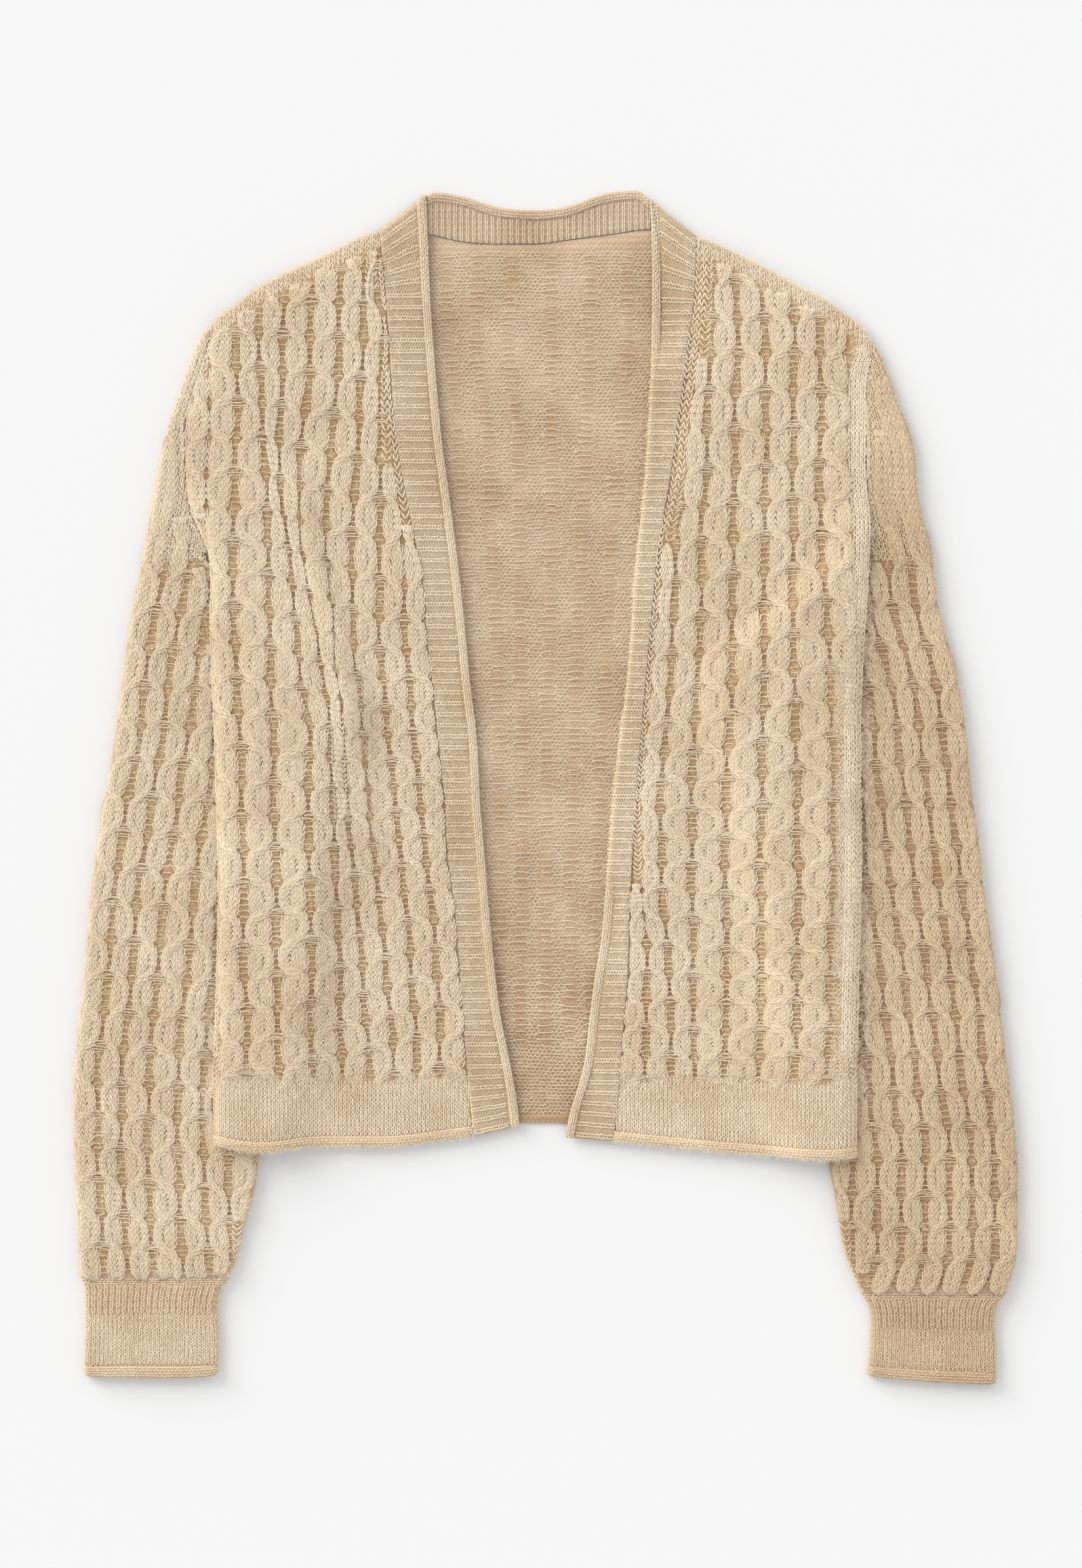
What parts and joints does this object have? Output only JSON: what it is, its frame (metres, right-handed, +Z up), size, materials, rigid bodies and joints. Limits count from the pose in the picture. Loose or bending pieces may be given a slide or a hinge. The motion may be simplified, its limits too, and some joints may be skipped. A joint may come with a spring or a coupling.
{
  "type": "cable knit cardigan",
  "caption": "Open cream cardigan of wavy cables between open ladder columns, with ribbed front bands, ribbed cuffs and rolled edges, laid flat on its back.",
  "frame": {"origin": "on the surface the garment lies on, under the middle of its outline", "axes": "+X towards the wearer's left, +Y from the hem to the neck, +Z up from the surface"},
  "size_m": [0.5576, 0.7064, 0.0174],
  "materials": {
    "back_panel": "matt brushed wool and mohair yarn",
    "front_panel_right": "matt brushed wool and mohair yarn",
    "front_panel_left": "matt brushed wool and mohair yarn",
    "sleeve_right": "matt brushed wool and mohair yarn",
    "sleeve_left": "matt brushed wool and mohair yarn",
    "cuff_right": "matt brushed wool and mohair yarn",
    "cuff_left": "matt brushed wool and mohair yarn",
    "front_band_right": "matt brushed wool and mohair yarn",
    "front_band_left": "matt brushed wool and mohair yarn",
    "neck_band": "matt brushed wool and mohair yarn"
  },
  "bodies": {
    "root": {"back_panel": "back_panel", "front_panel_right": "front_panel_right", "front_panel_left": "front_panel_left", "sleeve_right": "sleeve_right", "sleeve_left": "sleeve_left", "cuff_right": "cuff_right", "cuff_left": "cuff_left", "front_band_right": "front_band_right", "front_band_left": "front_band_left", "neck_band": "neck_band"}
  },
  "joints": []
}
